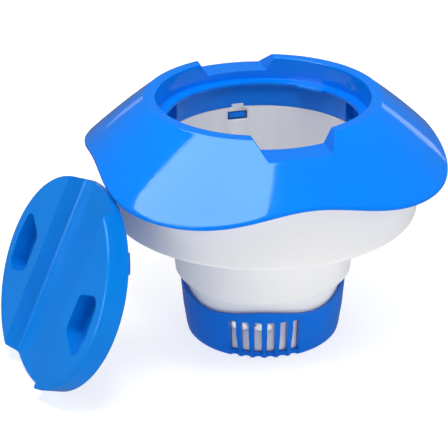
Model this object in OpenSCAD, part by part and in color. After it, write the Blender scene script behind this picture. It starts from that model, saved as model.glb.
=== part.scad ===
// Floating chlorine dispenser with a telescoping body, a turning vent cup and a twist-lock lid.
// Origin on the dispenser's axis at the base it stands on, +Z up, vents facing -Y.

/* [Overall] */
// Height from the base to the top of the ring
total_h = 141.4; // [139:0.1:144]
// Direction of the ring's two notches, counted from +X
notch_angle = 104.1; // [100:0.1:108]
// Wall of the blue mouldings
shell_t = 2.2; // [1.8:0.1:2.6]

/* [Ring] */
// Outer radius of the ring's flat top
ring_r = 66.2; // [65:0.1:67]
// Inner radius of the recess that the lid drops into
recess_r = 59.2; // [59:0.1:60]
// Depth of the recess, down to the ledge
recess_depth = 13; // [12.6:0.1:14]
// Inner radius of the ledge
ledge_r = 53.6; // [53.4:0.1:54]
// Width across the top of a notch
notch_top_w = 44; // [40:0.5:46]
// Width across the floor of a notch
notch_floor_w = 34.6; // [30:0.2:36]
// Depth of a notch
notch_depth = 8; // [6:0.1:8.5]

/* [Skirt] */
// Mean radius of the wavy rim
rim_r = 100.9; // [98:0.1:103]
// Mean height of the rim's lower edge
rim_z = 108.3; // [106:0.1:110]
// How far the lobes stand out from the mean radius
rim_wave_r = 4.85; // [2:0.05:6]
// How far the rim drops at the lobes
rim_wave_z = 4.4; // [2:0.1:5]
// Outward bulge half way down the flank
crown = 0.65; // [0:0.05:2]

/* [Bowl] */
// Radius at the bowl's lower edge
bowl_bottom_r = 86; // [85:0.1:87]
// Radius at the bowl's upper edge
bowl_top_r = 89.3; // [88:0.1:89.6]
// Height of the bowl's flat underside
bowl_z = 75.5; // [74:0.1:77]
// Inner radius of the tablet well at its rim
well_r = 56; // [55.8:0.1:56.2]
// Wall of the white mouldings
white_t = 1.8; // [1.6:0.1:1.9]

/* [Telescoping tiers] */
// Outer radius of the upper tier, at its top
tier_top_r = 54; // [53.8:0.1:54.1]
// Outer radius of the upper tier, at its bottom
tier_bottom_r = 50; // [49.8:0.1:50.2]
// Height of the upper tier's lower edge
tier_z = 38; // [37.8:0.1:39]

/* [Vent cup] */
// Outer radius at the cup's base
cup_base_r = 43.9; // [43.6:0.1:44.2]
// Outer radius at the cup's rim
cup_rim_r = 47.3; // [47:0.1:47.4]
// Mean height of the cup's wavy rim
cup_rim_z = 28.9; // [28:0.1:29.4]
// Width of one vent slot
slot_w = 4.2; // [2.5:0.1:4.6]
// Height of one vent slot
slot_h = 20.6; // [12:0.2:20.8]
// Slots on the front, and again on the back
slot_n = 6; // [4:1:6]

/* [Lid] */
// Radius of the lid across its top
lid_r = 58; // [57.4:0.1:58.6]
// Height of the lid's rim
lid_h = 13; // [12.6:0.1:13.2]
// Depth of the two finger pockets
pocket_depth = 9.6; // [7:0.2:9.8]
// Direction that the leaning lid faces, counted from +X
lean_azimuth = 208.5; // [206:0.5:210]
// How far the leaning lid is tilted back from upright
lean_tilt = 21.6; // [20.4:0.1:23]
// How far the leaning lid is turned on its own axis
lean_roll = -7.2; // [-15:0.2:15]
// Distance of the leaning lid's centre from the dispenser's axis
lean_out = 130.6; // [130.6:0.1:140]

/* [Hidden] */
$fn = 120;

// Colours of the three kinds of moulding and of the foam
blue = "#1687fb";
white = "#e9eaee";
foam = "#f6f6f1";
rubber = "#9aa0a6";

// Cutters pass their faces by this much
eps = 0.1;

// Ring and ledge
ledge_z = total_h - recess_depth;
ledge_t = 1.8;
ledge_bottom = ledge_z - ledge_t;
ring_wall = 2.4;
ring_edge = 0.6;
ring_flange = 2.6;
notch_fillet = 0.4;
lining_reach = 14.4;
lining_top = total_h - 1.2;
lining_side = total_h - 9.2;
seam_z = 112.9;
liner_r = well_r;
liner_out = liner_r + shell_t;
bay_r = 60;
bay_out = bay_r + shell_t;
bay_start = 151;
bay_angle = 59;
lug_r = 51.6;
lug_angle = 18.5;
lug_offset = -46.6;
wall_angle = 2.2;

// Skirt
skirt_top_r = ring_r - 0.4;
skirt_top_z = total_h - 0.3;
lip_h = 2.2;
lip_w = 1.7;
wave_r2 = 0.37;
wave_z2 = 0.53;
lobes = 4;
skirt_steps = 120;
flank_rows = 5;
seat_rib_r = 84.6;
seat_rib_z = 110;
seat_rib_top = 122.4;
seat_rib_t = 1.8;

// Bowl
bowl_top_z = 116.4;
bowl_round = 3;
foam_in = 60.6;
foam_out = 84;
foam_low = bowl_z + 2.4;
foam_top = 110;
foam_edge = 2;
window_z = 104.9;
window_h = 5.2;
window_angle = 12;
tab_angle = 10;
tab_z = 103.6;
tab_t = 1.8;
tab_in = well_r + white_t + 0.3;
tab_top = seam_z + 7;
tab_root = seam_z + 4;
key_angle = 8;
key_h = 2.4;
socket_r = tier_top_r + 0.4;

// Tiers
flange_h = 2.4;
tier_round = 1;
upper_top = bowl_z + 2.2 + flange_h;
lower_flange_r = 48.3;
lower_flange_z = tier_z + 1.7;
lower_top = lower_flange_z + 2;
lower_neck_r = 47.6;
shoulder_r = 44.4;
shoulder_z = 33.3;
step_z = 24.6;
drum_top_r = 41.5;
drum_base_r = 40.5;
base_gap = 0.6;
floor_t = 1.8;
lower_t = 1.6;
cup_floor_t = 2;
drum_z = cup_floor_t + base_gap;
hole_w = 9.2;
hole_h = 4.8;
hole_z = 18.1;
hole_pitch = 19.5;
hole_n = 3;
hole_first = 230.5;
stop_r = 42;
stop_angle = 3;
open_turn = 20;
closed_turn = 36;

// Vent cup
cup_t = 1.8;
cup_wave = 2.4;
cup_ear = 1.3;
cup_steps = 96;
slot_pitch = 9.1;
slot_z = 3.4;
slot_round = 1.2;
groove_r = 2.7;
groove_in = 0.2;
groove_lean = 14;
panel_angle = 62;
panel_in = 1.2;
panel_top = 24;
stud_r = 4;
stud_clearance = 0.06;
stud_h = 5.6;
retainer_r = 9;
retainer_h = 2.4;
retainer_z = drum_z + floor_t + 0.15;
retainer_slit = 0.8;
retainer_slits = 6;

// Lid
lid_t = 2;
lid_draft = 0.3;
lid_foot_r = lid_r - lid_draft;
groove_top_w = 45.6;
groove_floor_w = 36.6;
groove_depth = 8;
pocket_in = 30.8;
pocket_r = 51.2;
pocket_in_w = 22;
pocket_out_w = 37;
pocket_slant = 15;
pocket_round = 4.6;
groove_fillet = 3;
lid_round = 1.6;
gasket_in = 53.2;
gasket_out = 55.2;
gasket_h = 1.6;
gasket_proud = 0.15;
hook_r = 51.2;
hook_t = 1.7;
hook_toe = 2;
hook_toe_h = 1.3;
hook_angle = 13;
hook_drop = recess_depth + ledge_t + 0.3 - (total_h - ledge_z - lid_h - gasket_proud);
rib_t = 1.6;
rib_x = 34;
rib_length = 16;
rib_h = 6.5;
ground_gap = 0.2;
lean_z = lid_foot_r * cos(lean_tilt) + lid_h * sin(lean_tilt) + ground_gap;

// The wavy rim: it stands out and drops at the lobes, half way between the notch directions
function rim_radius(a) = rim_r - rim_wave_r * cos(lobes * (a - notch_angle))
                         - wave_r2 * cos(2 * lobes * (a - notch_angle));
function rim_height(a) = rim_z + rim_wave_z * cos(lobes * (a - notch_angle))
                         + wave_z2 * cos(2 * lobes * (a - notch_angle));

// A point of the flank at angle a and fraction s of the way from the ring to the lip, set in by depth
function flank(a, s, depth) =
    let (dr = rim_radius(a) - skirt_top_r)
    let (dz = rim_height(a) + lip_h - skirt_top_z)
    let (run = sqrt(dr * dr + dz * dz))
    let (bulge = crown * 4 * s * (1 - s) - depth)
    [skirt_top_r + dr * s - bulge * dz / run, skirt_top_z + dz * s + bulge * dr / run];

// The flank's section at angle a, as a closed loop of [radius, height] points
function flank_loop(a) = concat(
    [for (i = [0:flank_rows]) flank(a, i / flank_rows, 0)],
    [[rim_radius(a), rim_height(a)]],
    [[rim_radius(a) - lip_w, rim_height(a)]],
    [for (i = [flank_rows:-1:0]) flank(a, i / flank_rows, shell_t)]);

// Turns a section that changes with the angle into a closed band
function band_points(loops, steps) = [for (k = [0:steps - 1]) let (a = 360 * k / steps)
    for (p = loops[k]) [p[0] * cos(a), p[0] * sin(a), p[1]]];
function band_faces(steps, m) = [for (k = [0:steps - 1]) for (j = [0:m - 1])
    let (k2 = (k + 1) % steps, j2 = (j + 1) % m)
    for (f = [[k * m + j, k2 * m + j2, k * m + j2], [k * m + j, k2 * m + j, k2 * m + j2]]) f];

module band(loops) {
    polyhedron(points = band_points(loops, len(loops)), faces = band_faces(len(loops), len(loops[0])));
}

// A block that bends round the axis, between two radii, two heights and two angles
module sector(r_in, r_out, z_low, z_high, start, angle) {
    rotate_extrude(angle = angle, start = start)
        translate([r_in, z_low])
            square([r_out - r_in, z_high - z_low]);
}

// A section turned right round the axis
module turned(points) {
    rotate_extrude(start = 0)
        polygon(points);
}

// Points on an arc of a section, from one angle to another
function arc(r, z, radius, from, to) = [for (i = [0:6]) let (t = from + (to - from) * i / 6)
    [r + radius * cos(t), z + radius * sin(t)]];

// The two places that face each other across the axis
module both_sides() {
    for (turn = [0, 180])
        rotate([0, 0, turn])
            children();
}

// A channel's section: wide at the top, narrow at the floor, with its floor corners rounded by fillet
module channel(top_w, floor_w, depth, above, fillet) {
    spread = (top_w - floor_w) / 2;
    flare = spread / depth * above;
    slope = atan2(depth, spread);
    corner_x = floor_w / 2 - fillet / tan(90 - slope / 2);
    corner_z = fillet - depth;
    polygon(concat(arc(corner_x, corner_z, fillet, -90, slope - 90),
                   [[top_w / 2 + flare, above], [-top_w / 2 - flare, above]],
                   arc(-corner_x, corner_z, fillet, 270 - slope, 270)));
}

// A channel that runs along the X axis, with its open side at z = 0
module channel_run(top_w, floor_w, depth, above, length, fillet) {
    rotate([90, 0, 90])
        linear_extrude(height = length, center = true)
            channel(top_w, floor_w, depth, above, fillet);
}

module notch(grow) {
    translate([0, 0, total_h])
        rotate([0, 0, notch_angle])
            channel_run(notch_top_w + 2.4 * grow, notch_floor_w + 1.2 * grow, notch_depth + grow, 5, 200,
                        notch_fillet);
}

// ---- float shell ----

module skirt() {
    band([for (k = [0:skirt_steps - 1]) flank_loop(360 * k / skirt_steps)]);
}

module ring() {
    wall_out = recess_r + ring_wall;
    turned([[recess_r, total_h], [ring_r - ring_edge, total_h], [ring_r, total_h - ring_edge],
            [ring_r, total_h - ring_flange], [wall_out, total_h - ring_flange], [wall_out, ledge_bottom],
            [ledge_r, ledge_bottom], [ledge_r, ledge_z], [recess_r, ledge_z]]);
}

// Closes the moulding round each notch, just under the skirt's outer surface
module notch_lining() {
    out_r = recess_r + lining_reach;
    intersection() {
        notch(shell_t);
        turned([[recess_r, ledge_z], [out_r, ledge_z], [out_r, lining_side],
                [ring_r - 0.2, lining_top], [recess_r, lining_top]]);
    }
}

// The liner below the ledge, set back in two bays that the lid's hooks turn in
module liner() {
    for (turn = [0, 180]) {
        start = bay_start + turn;
        sector(liner_r, liner_out, seam_z, ledge_bottom + eps, start + bay_angle, 180 - bay_angle);
        sector(bay_r, bay_out, seam_z, ledge_bottom + eps, start, bay_angle);
        sector(liner_out - 0.2, bay_out, seam_z, seam_z + shell_t, start, bay_angle);
        sector(liner_r, bay_out, seam_z, ledge_bottom + eps, start - wall_angle, wall_angle);
        sector(liner_r, bay_out, seam_z, ledge_bottom + eps, start + bay_angle, wall_angle);
    }
}

// Inward lugs on the ledge that the lid's hooks lock under
module ledge_lugs() {
    both_sides()
        sector(lug_r, ledge_r + 0.4, ledge_bottom, ledge_z,
               notch_angle + lug_offset - lug_angle / 2, lug_angle);
}

// Springy tabs that snap into the bowl's windows
module snap_tabs() {
    start = notch_angle - tab_angle / 2;
    both_sides() {
        sector(tab_in, tab_in + tab_t, tab_z, tab_top, start, tab_angle);
        sector(liner_r + 0.6, tab_in + tab_t, tab_root, tab_top, start, tab_angle);
        rotate_extrude(angle = tab_angle, start = start)
            polygon([[tab_in + 0.2, window_z + 0.3], [well_r + 0.2, window_z + 1.5],
                     [well_r + 0.2, window_z + window_h - 0.6], [tab_in + 0.2, window_z + window_h - 0.3]]);
    }
}

// A hidden rib that drops inside the bowl's wall
module seat_rib() {
    sector(seat_rib_r, seat_rib_r + seat_rib_t, seat_rib_z, seat_rib_top, 0, 360);
}

module float_shell() {
    color(blue)
        difference() {
            union() {
                skirt();
                ring();
                notch_lining();
                liner();
                ledge_lugs();
                snap_tabs();
                seat_rib();
            }
            notch(0);
            both_sides()
                sector(liner_r - 1, liner_out - 0.1, seam_z - 1, seam_z + key_h + 0.2,
                       notch_angle - key_angle / 2 - 0.4, key_angle + 0.8);
        }
}

// ---- bowl with the upper part of the tablet well ----

module bowl() {
    floor_z = bowl_z + 2;
    color(white)
        difference() {
            union() {
                turned(concat([[socket_r, bowl_z]],
                              arc(bowl_bottom_r - bowl_round + 0.2, bowl_z + bowl_round, bowl_round, -90, -4),
                              [[bowl_top_r, bowl_top_z], [bowl_top_r - white_t, bowl_top_z]],
                              arc(bowl_bottom_r - bowl_round, bowl_z + bowl_round + 0.2,
                                  bowl_round - white_t, -4, -90),
                              [[well_r + white_t, floor_z], [well_r + white_t, seam_z - 0.1],
                               [well_r, seam_z - 0.1], [well_r, floor_z], [socket_r, floor_z]]));
                both_sides()
                    sector(well_r, well_r + white_t, seam_z - 0.2, seam_z + key_h,
                           notch_angle - key_angle / 2, key_angle);
            }
            both_sides()
                sector(well_r - 1, well_r + white_t + 1, window_z, window_z + window_h,
                       notch_angle - window_angle / 2, window_angle);
        }
}

// Closed-cell ring that fills the bowl's trough and keeps the dispenser afloat
module float_foam() {
    color(foam)
        turned([[foam_in, foam_low], [foam_out - foam_edge, foam_low], [foam_out - 0.4, foam_low + 1.6],
                [foam_out, foam_top - foam_edge], [foam_out - foam_edge, foam_top],
                [foam_in + foam_edge, foam_top], [foam_in, foam_top - foam_edge]]);
}

// ---- telescoping tiers ----

module upper_tier() {
    flange_r = well_r - 0.3;
    flange_z = bowl_z + 2.2;
    lip_r = lower_neck_r + 0.3;
    color(white)
        turned(concat([[tier_top_r, flange_z], [flange_r, flange_z], [flange_r, upper_top],
                       [tier_top_r - white_t, upper_top], [tier_bottom_r - white_t + 0.5, tier_z + 1.5],
                       [lip_r, tier_z + 1.5], [lip_r, tier_z]],
                      arc(tier_bottom_r - tier_round, tier_z + tier_round, tier_round, -90, 0)));
}

module vent_hole(angle) {
    rotate([0, 0, angle])
        translate([drum_base_r - 5, 0, hole_z])
            rotate([90, 0, 90])
                linear_extrude(height = 10)
                    union() {
                        square([hole_w - hole_h, hole_h], center = true);
                        for (side = [-1, 1])
                            translate([side * (hole_w - hole_h) / 2, 0])
                                circle(d = hole_h);
                    }
}

// Ribs that stop the vent cup fully open and fully closed
module stop_ribs() {
    open_edge = 270 - panel_angle / 2 - open_turn - stop_angle - 0.5;
    closed_edge = 270 + panel_angle / 2 + closed_turn + 0.5;
    both_sides()
        for (start = [open_edge, closed_edge])
            sector(drum_base_r - 0.4, stop_r, drum_z + 3, step_z - 1, start, stop_angle);
}

module lower_tier() {
    color(white)
        difference() {
            union() {
                turned([[stud_r + stud_clearance, drum_z], [drum_base_r - 0.8, drum_z],
                        [drum_base_r, drum_z + 0.8],
                        [drum_top_r, step_z - 1.6], [shoulder_r, step_z], [shoulder_r, shoulder_z],
                        [lower_neck_r, lower_flange_z - 2.7], [lower_neck_r, lower_flange_z],
                        [lower_flange_r, lower_flange_z], [lower_flange_r, lower_top],
                        [lower_neck_r - lower_t, lower_top], [lower_neck_r - lower_t, lower_flange_z - 2.7],
                        [shoulder_r - lower_t, shoulder_z], [shoulder_r - lower_t, step_z + 0.6],
                        [drum_top_r - lower_t, step_z - 1], [drum_base_r - lower_t, drum_z + floor_t],
                        [stud_r + stud_clearance, drum_z + floor_t]]);
                stop_ribs();
            }
            both_sides()
                for (i = [0:hole_n - 1])
                    vent_hole(hole_first + i * hole_pitch);
        }
}

// ---- vent cup ----

function cup_rim(a) = cup_rim_z + cup_wave * cos(4 * (a - 270)) - cup_ear * cos(2 * (a - 270));

// Everything above the cup's wavy rim
module above_cup_rim() {
    band([for (k = [0:cup_steps - 1]) let (z = cup_rim(360 * k / cup_steps))
        [[cup_base_r - 8, z], [cup_base_r - 8, cup_rim_z + 9],
         [cup_rim_r + 5, cup_rim_z + 9], [cup_rim_r + 5, z]]]);
}

module cup_wall() {
    mid_z = 15.5;
    mid_r = cup_base_r + (cup_rim_r - cup_base_r) * 0.56;
    top_z = cup_rim_z + cup_wave + cup_ear + 0.5;
    turned([[0, 0], [cup_base_r - 1.2, 0], [cup_base_r - 0.4, 1], [cup_base_r + 0.2, 3.6], [mid_r, mid_z],
            [cup_rim_r, top_z], [cup_rim_r - cup_t, top_z], [mid_r - cup_t, mid_z],
            [cup_base_r + 0.1 - cup_t, 3.6],
            [cup_base_r - 0.4 - cup_t, cup_floor_t], [0, cup_floor_t]]);
}

// The wall is thicker inside behind the slots
module vent_panel() {
    both_sides()
        rotate_extrude(angle = panel_angle, start = 270 - panel_angle / 2)
            polygon([[cup_base_r - cup_t - panel_in, cup_floor_t - 0.2], [cup_base_r - 1.2, cup_floor_t - 0.2],
                     [cup_rim_r - cup_t - 0.2, panel_top], [cup_rim_r - cup_t - 0.6, panel_top],
                     [cup_rim_r - 2 * cup_t - panel_in, panel_top - 2.2]]);
}

module slot_cut(angle) {
    rotate([0, 0, angle])
        translate([cup_base_r - 6, 0, slot_z])
            rotate([90, 0, 90])
                linear_extrude(height = 12)
                    union() {
                        translate([-slot_w / 2, 0])
                            square([slot_w, slot_h - slot_round]);
                        translate([slot_round - slot_w / 2, 0])
                            square([slot_w - 2 * slot_round, slot_h]);
                        for (side = [-1, 1])
                            translate([side * (slot_w / 2 - slot_round), slot_h - slot_round])
                                circle(r = slot_round);
                    }
}

// A scallop down the wall below each slot, deepest at the base
module groove_cut(angle) {
    rotate([0, 0, angle])
        translate([cup_base_r - groove_in, 0, 0])
            rotate([0, groove_lean, 0])
                translate([0, 0, -4])
                    cylinder(r = groove_r, h = 32);
}

module vent_cup() {
    color(blue)
        difference() {
            union() {
                cup_wall();
                vent_panel();
                cylinder(r = stud_r, h = cup_floor_t + stud_h);
            }
            above_cup_rim();
            both_sides()
                for (i = [0:slot_n - 1]) {
                    angle = 270 + (i - (slot_n - 1) / 2) * slot_pitch;
                    slot_cut(angle);
                    groove_cut(angle);
                }
        }
}

// Push-on washer that holds the cup's stud in the floor of the lower tier
module vent_retainer() {
    color(white)
        difference() {
            translate([0, 0, retainer_z])
                cylinder(r = retainer_r, h = retainer_h);
            translate([0, 0, retainer_z - 1])
                cylinder(r = stud_r, h = retainer_h + 2);
            for (i = [0:retainer_slits - 1])
                rotate([0, 0, 360 * i / retainer_slits])
                    translate([stud_r - 1, -retainer_slit / 2, retainer_z - 1])
                        cube([3.4, retainer_slit, retainer_h + 2]);
        }
}

// ---- lid, drawn with its top at z = 0 and its groove along X ----

module pocket_outline() {
    offset(r = pocket_round, $fn = 24)
        offset(delta = -pocket_round)
            intersection() {
                circle(r = pocket_r);
                polygon([[-pocket_in_w / 2, pocket_in], [pocket_in_w / 2, pocket_in],
                         [pocket_out_w / 2, pocket_in + pocket_slant], [pocket_out_w / 2, pocket_r + 5],
                         [-pocket_out_w / 2, pocket_r + 5], [-pocket_out_w / 2, pocket_in + pocket_slant]]);
            }
}

module pockets(grow, depth) {
    both_sides()
        translate([0, 0, -depth])
            linear_extrude(height = depth + 1)
                offset(delta = grow)
                    pocket_outline();
}

// The thin top, the rim wall and the inner walls that stand under them
module lid_shell() {
    wall_in = lid_foot_r - lid_t;
    turned(concat([[0, 0]], arc(lid_r - lid_round, -lid_round, lid_round, 90, 0),
           [[lid_foot_r, 0.4 - lid_h], [lid_foot_r - 0.4, -lid_h],
            [wall_in, -lid_h], [wall_in, -lid_h + gasket_h - gasket_proud],
            [gasket_in - 0.4, -lid_h + gasket_h - gasket_proud], [gasket_in - 0.4, -lid_h + gasket_h + 1.4],
            [wall_in, -lid_h + gasket_h + 1.4], [wall_in, -lid_t], [0, -lid_t]]));
    intersection() {
        translate([0, 0, -lid_h])
            cylinder(r = lid_foot_r - 1, h = lid_h - 0.5);
        union() {
            channel_run(groove_top_w + 4, groove_floor_w + 3.4, groove_depth + lid_t, -1, 2 * lid_r,
                        groove_fillet);
            pockets(lid_t - 0.2, pocket_depth + lid_t - 0.2);
        }
    }
    both_sides()
        for (x = [-rib_x, rib_x])
            translate([x - rib_t / 2, groove_top_w / 2, 0.5 - lid_t - rib_h])
                cube([rib_t, rib_length, rib_h]);
}

// Hooks that turn under the ledge's lugs
module lid_hooks() {
    start = lug_offset - hook_angle / 2;
    both_sides() {
        sector(hook_r - hook_t, hook_r, -hook_drop - hook_toe_h, -lid_t + 0.5, start, hook_angle);
        sector(hook_r - 0.5, hook_r + hook_toe, -hook_drop - hook_toe_h, -hook_drop, start, hook_angle);
    }
}

module leaning() {
    translate([lean_out * cos(lean_azimuth), lean_out * sin(lean_azimuth), lean_z])
        rotate([0, 0, lean_azimuth])
            rotate([0, 90 - lean_tilt, 0])
                rotate([0, 0, lean_roll])
                    children();
}

module lid_cap() {
    color(blue)
        leaning()
            difference() {
                union() {
                    lid_shell();
                    lid_hooks();
                }
                channel_run(groove_top_w, groove_floor_w, groove_depth, 5, 2 * lid_r + 10, groove_fillet);
                pockets(0, pocket_depth);
            }
}

module lid_gasket() {
    color(rubber)
        leaning()
            translate([0, 0, -lid_h - gasket_proud])
                difference() {
                    cylinder(r = gasket_out, h = gasket_h);
                    translate([0, 0, -1])
                        cylinder(r = gasket_in, h = gasket_h + 2);
                }
}

float_shell();
bowl();
float_foam();
upper_tier();
lower_tier();
vent_cup();
vent_retainer();
lid_cap();
lid_gasket();
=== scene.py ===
import math

import bmesh
import bpy
import numpy as np
from mathutils import Matrix, Vector


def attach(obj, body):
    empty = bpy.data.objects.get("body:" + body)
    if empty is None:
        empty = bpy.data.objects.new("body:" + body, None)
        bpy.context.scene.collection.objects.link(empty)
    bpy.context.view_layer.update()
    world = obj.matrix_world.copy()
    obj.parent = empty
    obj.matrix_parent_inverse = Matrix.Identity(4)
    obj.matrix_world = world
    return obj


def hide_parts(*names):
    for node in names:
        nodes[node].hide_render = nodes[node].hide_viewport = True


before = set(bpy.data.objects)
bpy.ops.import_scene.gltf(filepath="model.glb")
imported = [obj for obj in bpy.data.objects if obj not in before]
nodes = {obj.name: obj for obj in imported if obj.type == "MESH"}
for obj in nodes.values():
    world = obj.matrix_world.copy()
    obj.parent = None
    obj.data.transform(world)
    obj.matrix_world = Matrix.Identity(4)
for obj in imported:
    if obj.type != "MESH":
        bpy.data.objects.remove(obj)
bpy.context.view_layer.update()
scene = bpy.context.scene

# Millimetres and degrees, unless a comment says otherwise. A name in common with part.scad means the same size,
# unless a comment says how the two differ.
MM = 0.001

# ring, its recess for the lid, and the notches in its rim
TOTAL_H = 141.4
ABOVE_ALL = 200.0
NOTCH_ANGLE = 104.1
NOTCH_Z = 133.4
NOTCH_HALF_W = 17.3
NOTCH_SLOPE = 8 / 4.7
NOTCH_FOOT_ROUND, NOTCH_EDGE_ROUND = 0.7, 0.8  # where its walls meet its floor, and where it cuts the ring
NOTCH_REACH, NOTCH_STEP = 27, 0.22  # the fine part of the grid, to either side of a notch
SHELL_T = 2.2
SKIRT_TOP_R, SKIRT_TOP_Z = 65.8, 141.1
RECESS_R = 59.2
LEDGE_Z, LEDGE_BOTTOM = 128.4, 126.6
LEDGE_R, LUG_R = 53.6, 51.6
LUG_MID, LUG_ANGLE = 57.5, 18.5
# liner, with a wider bay on either side, and what closes it below
LINER_R, BAY_R = 56, 60
BAY_FROM, BAY_TO = 150, 211
SEAM_Z, SEAM_R = 112.9, 58.0
RING_IN_R = 61.6
# wavy rim, as two waves of the lobes on a mean radius and height
# RIM_R is 0.05 under part.scad's, because this grid is finer and has to stay inside the CAD's box
LOBES = 4
RIM_R, RIM_WAVE_R, RIM_WAVE_R2 = 100.85, 4.85, 0.37
RIM_Z, RIM_WAVE_Z, RIM_WAVE_Z2 = 108.3, 4.4, 0.53
LIP_H, LIP_ROUND = 2.2, 0.45
CROWN = 0.65  # how far the flank bulges from a straight line
# snap tabs under the skirt; TAB_TOP is 0.1 under part.scad's
TAB_IN, TAB_OUT = 58.1, 59.9
TAB_Z, TAB_TOP = 103.6, 119.8
TAB_ROOT_R, TAB_ROOT_Z = 56.7, 117
TAB_ANGLE = 10
TAB_BEVEL, TAB_NOSE_BEVEL = 0.3, 0.25
TAB_NOSE = ((58.3, 105.2), (58.3, 109.8), (56.3, 109.5), (56.3, 106.4))


# ---------------------------------------------------------------- camera
CAMERA_PLACE = (-0.0220, -0.9153, 0.4935)  # metres
CAMERA_PITCH, CAMERA_ROLL = 25.19, -0.45
CAMERA_LENS, SENSOR_WIDTH = 143.4, 36


def make_camera():
    """The photo's camera: it looks along +y, tipped down by its pitch and turned a little about its own axis."""
    pitch, roll = math.radians(CAMERA_PITCH), math.radians(CAMERA_ROLL)
    level_right = Vector((1, 0, 0))
    level_up = Vector((0, math.sin(pitch), math.cos(pitch)))
    back = Vector((0, -math.cos(pitch), math.sin(pitch)))
    right = level_right * math.cos(roll) + level_up * math.sin(roll)
    up = level_up * math.cos(roll) - level_right * math.sin(roll)
    data = bpy.data.cameras.new("camera")
    data.sensor_width = SENSOR_WIDTH
    data.lens = CAMERA_LENS
    data.clip_start, data.clip_end = 0.05, 100
    camera = bpy.data.objects.new("camera", data)
    scene.collection.objects.link(camera)
    matrix = Matrix((right, up, back)).transposed().to_4x4()
    matrix.translation = Vector(CAMERA_PLACE)
    camera.matrix_world = matrix
    scene.camera = camera


make_camera()


# ---------------------------------------------------------------- materials
PLASTIC_IOR = 1.49
DRIFT_SCALE, DRIFT_FROM, DRIFT_TO = 14, 0.32, 0.68
PEEL_DEPTH = 0.0006  # metres
FOAM_CELLS, FOAM_DEPTH = 550, 0.0005


def new_material(name):
    """An empty node material, with its tree and its Principled BSDF."""
    material = bpy.data.materials.new(name)
    material.use_nodes = True
    return material, material.node_tree, material.node_tree.nodes["Principled BSDF"]


def add_node(tree, kind, **values):
    """A shader node with its inputs set by name, where an underscore stands for a space."""
    node = tree.nodes.new(kind)
    for key, value in values.items():
        node.inputs[key.replace("_", " ")].default_value = value
    return node


def add_bump(tree, shader, height, strength, depth):
    bump = add_node(tree, "ShaderNodeBump", Strength=strength, Distance=depth)
    tree.links.new(height, bump.inputs["Height"])
    tree.links.new(bump.outputs["Normal"], shader.inputs["Normal"])


def scratches(tree, coordinates, depth):
    """Fine marks, all in one slanted direction, as a height below the surface."""
    mapping = add_node(tree, "ShaderNodeMapping", Scale=(1, 1, 0.06), Rotation=(0.3, 0.9, 0.4))
    streak = add_node(tree, "ShaderNodeTexNoise", Scale=1500, Detail=1)
    thin = add_node(tree, "ShaderNodeMapRange", From_Min=0.7, From_Max=0.8, To_Min=0, To_Max=-depth)
    tree.links.new(coordinates, mapping.inputs["Vector"])
    tree.links.new(mapping.outputs["Vector"], streak.inputs["Vector"])
    tree.links.new(streak.outputs["Fac"], thin.inputs["Value"])
    return thin.outputs["Result"]


def plastic(name, colour, dark, rough, peel, peel_scale, sss=0.0, scratch=0.0, gleam=(1, 1, 1), shine=0.5):
    """Moulded plastic: a slow drift of colour, uneven gloss, a faint orange peel and fine handling marks.

    rough is the range of the roughness. gleam is the tint of the highlights, and shine is their strength.
    """
    material, tree, shader = new_material(name)
    link = tree.links.new
    coordinates = tree.nodes.new("ShaderNodeTexCoord").outputs["Object"]

    slow = add_node(tree, "ShaderNodeTexNoise", Scale=DRIFT_SCALE, Detail=3)
    ramp = tree.nodes.new("ShaderNodeValToRGB")
    low, high = ramp.color_ramp.elements
    low.position, high.position = DRIFT_FROM, DRIFT_TO
    low.color, high.color = (*dark, 1), (*colour, 1)
    link(coordinates, slow.inputs["Vector"])
    link(slow.outputs["Fac"], ramp.inputs["Fac"])
    link(ramp.outputs["Color"], shader.inputs["Base Color"])

    fine = add_node(tree, "ShaderNodeTexNoise", Scale=120, Detail=5, Roughness=0.6)
    span = add_node(tree, "ShaderNodeMapRange", From_Min=0.3, From_Max=0.7, To_Min=rough[0], To_Max=rough[1])
    link(coordinates, fine.inputs["Vector"])
    link(fine.outputs["Fac"], span.inputs["Value"])
    link(span.outputs["Result"], shader.inputs["Roughness"])

    skin = add_node(tree, "ShaderNodeTexNoise", Scale=peel_scale, Detail=2)
    link(coordinates, skin.inputs["Vector"])
    height = skin.outputs["Fac"]
    if scratch:
        total = tree.nodes.new("ShaderNodeMath")
        total.operation = "ADD"
        link(height, total.inputs[0])
        link(scratches(tree, coordinates, scratch), total.inputs[1])
        height = total.outputs["Value"]
    add_bump(tree, shader, height, peel, PEEL_DEPTH)

    shader.inputs["IOR"].default_value = PLASTIC_IOR
    shader.inputs["Specular Tint"].default_value = (*gleam, 1)
    shader.inputs["Specular IOR Level"].default_value = shine
    if sss:
        shader.inputs["Subsurface Weight"].default_value = sss
        shader.inputs["Subsurface Radius"].default_value = (0.004, 0.004, 0.005)
        shader.inputs["Subsurface Scale"].default_value = 1.0
    return material


def foam_material():
    """Closed-cell foam: pale, rough and pitted."""
    material, tree, shader = new_material("closed_cell_foam")
    coordinates = tree.nodes.new("ShaderNodeTexCoord").outputs["Object"]
    cells = add_node(tree, "ShaderNodeTexVoronoi", Scale=FOAM_CELLS)
    ramp = tree.nodes.new("ShaderNodeValToRGB")
    pit, wall = ramp.color_ramp.elements
    pit.color, wall.color = (0.80, 0.80, 0.76, 1), (0.90, 0.90, 0.87, 1)
    tree.links.new(coordinates, cells.inputs["Vector"])
    tree.links.new(cells.outputs["Distance"], ramp.inputs["Fac"])
    tree.links.new(ramp.outputs["Color"], shader.inputs["Base Color"])
    add_bump(tree, shader, cells.outputs["Distance"], 0.4, FOAM_DEPTH)
    shader.inputs["Roughness"].default_value = 0.85
    return material


def set_material(piece, material):
    if piece.material_slots:
        for slot in piece.material_slots:
            slot.material = material
    else:
        piece.data.materials.append(material)


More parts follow.
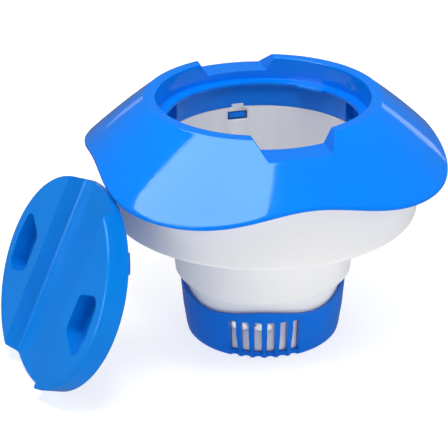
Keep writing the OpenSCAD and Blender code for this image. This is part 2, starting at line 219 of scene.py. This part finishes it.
shell_blue = plastic("shell_blue", colour=(0.0005, 0.190, 0.80), dark=(0.0005, 0.172, 0.75), rough=(0.045, 0.075),
                     peel=0.05, peel_scale=420, scratch=0.2, gleam=(0.7, 0.95, 1))
lid_blue = plastic("lid_blue", colour=(0.0005, 0.178, 0.63), dark=(0.0005, 0.158, 0.57), rough=(0.15, 0.22),
                   peel=0.10, peel_scale=700, scratch=0.3, gleam=(0.5, 0.85, 1), shine=0.35)
cup_blue = plastic("cup_blue", colour=(0.0005, 0.140, 0.66), dark=(0.0005, 0.125, 0.60), rough=(0.18, 0.26),
                   peel=0.10, peel_scale=700, gleam=(0.5, 0.85, 1), shine=0.3)
white = plastic("white_moulding", colour=(0.78, 0.78, 0.79), dark=(0.75, 0.755, 0.77), rough=(0.30, 0.42),
                peel=0.08, peel_scale=600, sss=0.15)
# own white of the lower tier and the retainer, made a little lighter and bluer than the outer white: painted light
# that brightens them inside the shaded bowl
inner_white_painted_light = plastic("white_inner_painted_light", colour=(0.80, 0.805, 0.825), dark=(0.77, 0.78, 0.805), rough=(0.38, 0.5),
                      peel=0.08, peel_scale=600, sss=0.2)
rubber = plastic("seal_rubber", colour=(0.20, 0.215, 0.23), dark=(0.16, 0.17, 0.19), rough=(0.6, 0.75),
                 peel=0.15, peel_scale=1200)

node_materials = {
    "float_shell": shell_blue,
    "bowl": white,
    "upper_tier": white,
    "lower_tier": inner_white_painted_light,
    "vent_cup": cup_blue,
    "vent_retainer": inner_white_painted_light,
    "lid_cap": lid_blue,
    "lid_gasket": rubber,
    "float_foam": foam_material(),
}
for name, material in node_materials.items():
    set_material(nodes[name], material)


# ---------------------------------------------------------------- float shell
# an edge that turns by more than this stays sharp
SHELL_SHARP, TAB_SHARP = 38, 30


def rim_radius(angle):
    wave = LOBES * (angle - math.radians(NOTCH_ANGLE))
    return RIM_R - RIM_WAVE_R * np.cos(wave) - RIM_WAVE_R2 * np.cos(2 * wave)


def rim_height(angle):
    wave = LOBES * (angle - math.radians(NOTCH_ANGLE))
    return RIM_Z + RIM_WAVE_Z * np.cos(wave) + RIM_WAVE_Z2 * np.cos(2 * wave)


def soft_min(first, second, blend):
    """The lower of two heights, with a round change from one to the other."""
    share = np.clip(0.5 + 0.5 * (second - first) / blend, 0, 1)
    return second + (first - second) * share - blend * share * (1 - share)


def soft_max(first, second, blend):
    return -soft_min(-first, -second, blend)


def notch_height(radius, angle):
    """Height of the ring's notches over a point: a flat floor between two slanted walls."""
    lowest = np.full(np.broadcast(radius, angle).shape, ABOVE_ALL)
    for turn in (0, math.pi):
        off = angle - math.radians(NOTCH_ANGLE) - turn
        wall = NOTCH_Z + (np.abs(radius * np.sin(off)) - NOTCH_HALF_W) * NOTCH_SLOPE
        height = soft_max(wall, np.full_like(wall, NOTCH_Z), NOTCH_FOOT_ROUND)
        lowest = np.where(np.cos(off) > 0, np.minimum(lowest, height), lowest)
    return lowest


def shell_angles():
    """Where the skin's sections stand: every degree, closer at the notches, and close at the bays' and lugs' ends."""
    angles = set(np.round(np.arange(0, 360, 1.0), 3))
    ends = (BAY_FROM + 1, BAY_TO - 1, BAY_FROM - 1.2, BAY_TO + 1.2, LUG_MID - LUG_ANGLE / 2, LUG_MID + LUG_ANGLE / 2)
    for turn in (0, 180):
        notch = NOTCH_ANGLE + turn
        angles |= set(np.round(np.arange(notch - NOTCH_REACH, notch + NOTCH_REACH, NOTCH_STEP) % 360, 3))
        for end in ends:
            for offset in (-0.6, -0.3, -0.12, 0.12, 0.3, 0.6):
                angles.add(round((end + turn + offset) % 360, 3))
    return np.radians(np.array(sorted(angles)))


def between(angle, low, high, ramp=0.3):
    """1 between two angles and between their opposites, 0 elsewhere, with short ramps, all in degrees."""
    middle, half = (low + high) / 2, (high - low) / 2
    share = 0
    for turn in (0, 180):
        away = np.abs((np.degrees(angle) - middle - turn + 180) % 360 - 180)
        share = np.maximum(share, np.clip((half - away) / ramp + 0.5, 0, 1))
    return share


def shell_rows():
    """The shell's closed section at every angle, from the lip up the flank, over the ring and back inside."""
    angle = shell_angles()
    rim_r, rim_z = rim_radius(angle), rim_height(angle)
    run_r, run_z = rim_r - SKIRT_TOP_R, rim_z + LIP_H - SKIRT_TOP_Z
    run = np.sqrt(run_r * run_r + run_z * run_z)
    bay = between(angle, BAY_FROM, BAY_TO)
    lug = between(angle, LUG_MID - LUG_ANGLE / 2, LUG_MID + LUG_ANGLE / 2)
    liner = LINER_R + (BAY_R - LINER_R) * bay
    ledge = LEDGE_R - (LEDGE_R - LUG_R) * lug
    rows = []

    def row(radius, height):
        rows.append([np.broadcast_to(value, angle.shape).astype(float) for value in (radius, height)])

    def flank(share, depth):
        """A point on the skirt at a share of the way down it, at a depth below its outer face."""
        bulge = CROWN * 4 * share * (1 - share) - depth
        return SKIRT_TOP_R + run_r * share - bulge * run_z / run, SKIRT_TOP_Z + run_z * share + bulge * run_r / run

    def cut(radius, height):
        """The outer face, cut away by the notches."""
        return soft_min(height, notch_height(radius, angle), NOTCH_EDGE_ROUND)

    def under(radius, height):
        """The inner face, kept a wall below the notches."""
        return np.minimum(height, notch_height(radius, angle) - SHELL_T)

    def level(value):
        return np.full_like(angle, value)

    # lip, from its inner foot outwards and up
    for inset, rise in ((1.7, 0.25), (1.5, 0.05), (1.2, 0)):
        row(rim_r - inset, rim_z + rise)
    for turn in np.radians(np.linspace(-90, 0, 5)):
        row(rim_r - LIP_ROUND + LIP_ROUND * math.cos(turn), rim_z + LIP_ROUND + LIP_ROUND * math.sin(turn))
    for inset, rise in ((0, 1.1), (0, 1.75), (0.03, 2.05)):
        row(rim_r - inset, rim_z + rise)
    # flank, from the lip to the ring
    radius, height = flank(0.996, 0)
    row(radius, height - 0.096)
    for share in np.concatenate([[0.988, 0.97], np.linspace(0.95, 0.40, 24), np.linspace(0.385, 0.0, 44)]):
        radius, height = flank(share, 0)
        row(radius, cut(radius, height) if share < 0.5 else height)
    # ring's top, with its outer and inner edges rounded
    for radius, drop in ((65.7, 0.1), (65.4, 0.03), (65.0, 0), (64.4, 0), (63.6, 0), (62.6, 0), (61.6, 0), (60.8, 0),
                         (60.2, 0), (59.85, 0.01), (59.6, 0.07), (59.4, 0.18), (59.27, 0.35)):
        row(radius, cut(level(radius), level(TOTAL_H - drop)))
    # recess wall, down to the fillet at the ledge
    head = rows[-1][1] - 0.25
    foot = LEDGE_Z + 0.35
    for share in np.linspace(0, 1, 12)[:-1]:
        row(RECESS_R, head + (foot - head) * share)
    for inset, rise in ((0, 0.3), (0.1, 0.1), (0.35, 0)):
        row(RECESS_R - inset, LEDGE_Z + rise)
    # ledge, its edge and its underside
    inner, outer = ledge + 0.35, RECESS_R - 0.35
    for share in (0.3, 0.6, 0.85):
        row(outer + (inner - outer) * share, LEDGE_Z)
    for inset, drop in ((0.3, 0), (0.1, 0.08), (0, 0.3), (0, 1.4), (0, 1.65), (0.2, 1.8)):
        row(ledge + inset, LEDGE_Z - drop)
    # liner, down to the seam
    row(liner - 0.2, LEDGE_BOTTOM)
    row(liner, LEDGE_BOTTOM - 0.2)
    for height in (124, 121, 118, 115.6, 115.2):
        row(liner, height)
    seam = np.minimum(liner, SEAM_R)
    for inset, rise in ((0, 2.15), (0, 0.4), (0.1, 0.1), (0.4, 0)):
        row(seam + inset, SEAM_Z + rise)
    # back of the liner and inside of the ring
    liner_out = liner + SHELL_T
    row(liner + 2.0, SEAM_Z)
    row(liner_out, SEAM_Z + 0.2)
    row(liner_out, 119)
    row(np.maximum(liner_out, RING_IN_R), LEDGE_BOTTOM - 0.2)
    row(RING_IN_R, 127.2)
    for radius, height in ((61.7, 138.8), (64.0, 138.7)):
        row(radius, under(level(radius), level(height)))
    # inside of the flank, down to the lip
    for share in np.concatenate([np.linspace(0.02, 0.4, 14), np.linspace(0.46, 0.97, 14)]):
        radius, height = flank(share, SHELL_T)
        row(radius, under(radius, height) if share < 0.5 else height)
    row(rim_r - 1.75, rim_z + 1.0)
    return angle, rows


def ring_mesh(name, angle, rows):
    """A closed ring through the sections, smooth except at its sharp edges."""
    columns, height = len(angle), len(rows)
    points = np.zeros((columns, height, 3))
    for j, (radius, z) in enumerate(rows):
        points[:, j, 0], points[:, j, 1], points[:, j, 2] = radius * np.cos(angle), radius * np.sin(angle), z
    faces = []
    for k in range(columns):
        here, there = k * height, (k + 1) % columns * height
        for j in range(height):
            above = (j + 1) % height
            faces.append((here + j, there + j, there + above, here + above))
    mesh = bpy.data.meshes.new(name)
    mesh.from_pydata((points.reshape(-1, 3) * MM).tolist(), [], faces)
    mesh.update()
    work = bmesh.new()
    work.from_mesh(mesh)
    bmesh.ops.remove_doubles(work, verts=work.verts, dist=1e-6)
    bmesh.ops.recalc_face_normals(work, faces=work.faces)
    work.to_mesh(mesh)
    work.free()
    mesh.polygons.foreach_set("use_smooth", [True] * len(mesh.polygons))
    mesh.set_sharp_from_angle(angle=math.radians(SHELL_SHARP))
    piece = bpy.data.objects.new(name, mesh)
    scene.collection.objects.link(piece)
    return piece


shell = ring_mesh("float_shell_skin", *shell_rows())
set_material(shell, shell_blue)
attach(shell, "float")
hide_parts("float_shell")


# ---------------------------------------------------------------- snap tabs
def soften(piece, width, segments, angle):
    """A bevel, in millimetres, on every edge sharper than an angle in degrees."""
    bevel = piece.modifiers.new("edges", "BEVEL")
    bevel.width, bevel.segments = width * MM, segments
    bevel.limit_method, bevel.angle_limit = "ANGLE", math.radians(angle)
    return bevel


def arc_block(name, section, start, bevel, steps=14):
    """A blue block of the float that bends round the axis: its section is a list of radius and height."""
    work = bmesh.new()
    loops = []
    for k in range(steps + 1):
        turn = math.radians(start + TAB_ANGLE * k / steps)
        loops.append([work.verts.new((r * math.cos(turn) * MM, r * math.sin(turn) * MM, z * MM)) for r, z in section])
    sides = len(section)
    for here, there in zip(loops, loops[1:]):
        for j in range(sides):
            above = (j + 1) % sides
            work.faces.new((here[j], there[j], there[above], here[above]))
    work.faces.new(loops[0])
    work.faces.new(list(reversed(loops[-1])))
    bmesh.ops.recalc_face_normals(work, faces=work.faces)
    mesh = bpy.data.meshes.new(name)
    work.to_mesh(mesh)
    work.free()
    piece = bpy.data.objects.new(name, mesh)
    scene.collection.objects.link(piece)
    soften(piece, bevel, 2, 40)
    mesh.polygons.foreach_set("use_smooth", [True] * len(mesh.polygons))
    mesh.set_sharp_from_angle(angle=math.radians(TAB_SHARP))
    set_material(piece, shell_blue)
    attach(piece, "float")


def rectangle(inner, outer, low, high):
    return (inner, low), (outer, low), (outer, high), (inner, high)


for side, turn in (("back", 0), ("front", 180)):
    start = NOTCH_ANGLE - TAB_ANGLE / 2 + turn
    arc_block(f"snap_tab_{side}", rectangle(TAB_IN, TAB_OUT, TAB_Z, TAB_TOP), start, TAB_BEVEL)
    arc_block(f"snap_tab_root_{side}", rectangle(TAB_ROOT_R, TAB_OUT, TAB_ROOT_Z, TAB_TOP), start, TAB_BEVEL)
    arc_block(f"snap_tab_nose_{side}", TAB_NOSE, start, TAB_NOSE_BEVEL)


# ---------------------------------------------------------------- CAD nodes: softened edges
WELD_GAP = 0.004
edge_widths = {"lid_cap": 0.7, "bowl": 0.4, "upper_tier": 0.4, "lower_tier": 0.3}
for name, width in edge_widths.items():
    weld = nodes[name].modifiers.new("weld", "WELD")
    weld.merge_threshold = WELD_GAP * MM
    bevel = soften(nodes[name], width, 3, 34)
    bevel.harden_normals = True
    bevel.use_clamp_overlap = True


# ---------------------------------------------------------------- stage and light
# metres and watts
FLOOR_SIZE, FLOOR_Z = 60, -0.0003
FLOOR_GREY, FLOOR_GLOW = 0.5, 0.7
WORLD_LIGHT = 0.15
AT_CUP, AT_FLOAT = (0, 0, 0.06), (0, 0, 0.1)


def make_floor():
    """A plain pale floor. It glows a little, and is kept out of reflections so that it doesn't haze the blues."""
    bpy.ops.mesh.primitive_grid_add(x_subdivisions=2, y_subdivisions=2, size=FLOOR_SIZE, location=(0, 2, FLOOR_Z))
    floor = bpy.context.object
    floor.name = "floor"
    floor.visible_glossy = False
    material, _, shader = new_material("floor")
    shader.inputs["Base Color"].default_value = (FLOOR_GREY, FLOOR_GREY, FLOOR_GREY, 1)
    shader.inputs["Roughness"].default_value = 0.9
    shader.inputs["Emission Color"].default_value = (1, 1, 1, 1)
    shader.inputs["Emission Strength"].default_value = FLOOR_GLOW
    floor.data.materials.append(material)


def softbox(name, power, size, place, aim, fills=True, mirrored=True):
    """A rectangular light. fills=False shows it in reflections only, and mirrored=False keeps it out of them."""
    data = bpy.data.lights.new(name, "AREA")
    data.shape = "RECTANGLE"
    data.size, data.size_y = size
    data.energy = power
    light = bpy.data.objects.new(name, data)
    scene.collection.objects.link(light)
    light.location = place
    light.rotation_euler = (Vector(aim) - Vector(place)).to_track_quat("-Z", "Y").to_euler()
    light.visible_diffuse = fills
    light.visible_glossy = mirrored
    light.visible_camera = False
    return light


make_floor()

# seen as the pale patch on the skirt: it hangs level over the object and shines straight down
overhead = softbox("softbox", 21, (1.4, 0.8), (-0.647, -0.326, 1.125), (-0.647, -0.326, 0), fills=False)
overhead.rotation_euler = (0, 0, math.radians(-14))
# light from all round, which the plastic doesn't mirror
for name, power, size, place, aim in (
        ("front_fill", 8.5, (1.6, 0.9), (0.6, -1.6, 0.6), AT_CUP),
        ("top_fill", 10, (1.2, 1.2), (0.3, 0.05, 1.7), AT_CUP),
        ("mouth_fill", 17, (0.7, 0.5), (-0.1, -0.45, 1.5), AT_FLOAT),
        ("left_fill", 8, (0.6, 1.0), (-1.5, -0.2, 0.4), AT_FLOAT),
        ("right_fill", 4, (0.6, 1.0), (1.4, 0.2, 0.5), AT_FLOAT)):
    softbox(name, power, size, place, aim, mirrored=False)
# seen along the lid's edges
softbox("edge_panel", 12, (1.0, 0.7), (-1.05, -0.9, 0.34), (-0.1, -0.05, 0.06), fills=False)
# seen as thin lines on the back of the rim
softbox("back_right_strip", 0.14, (0.1, 0.35), (0.88, 1.21, 0.36), (0.06, 0, 0.12))
softbox("back_left_strip", 0.06, (0.1, 0.35), (-0.63, 1.36, 0.28), (-0.06, 0, 0.12))

world = bpy.data.worlds.new("studio")
scene.world = world
world.use_nodes = True
world.node_tree.nodes["Background"].inputs["Color"].default_value = (1, 1, 1, 1)
world.node_tree.nodes["Background"].inputs["Strength"].default_value = WORLD_LIGHT
scene.view_settings.view_transform = "Standard"
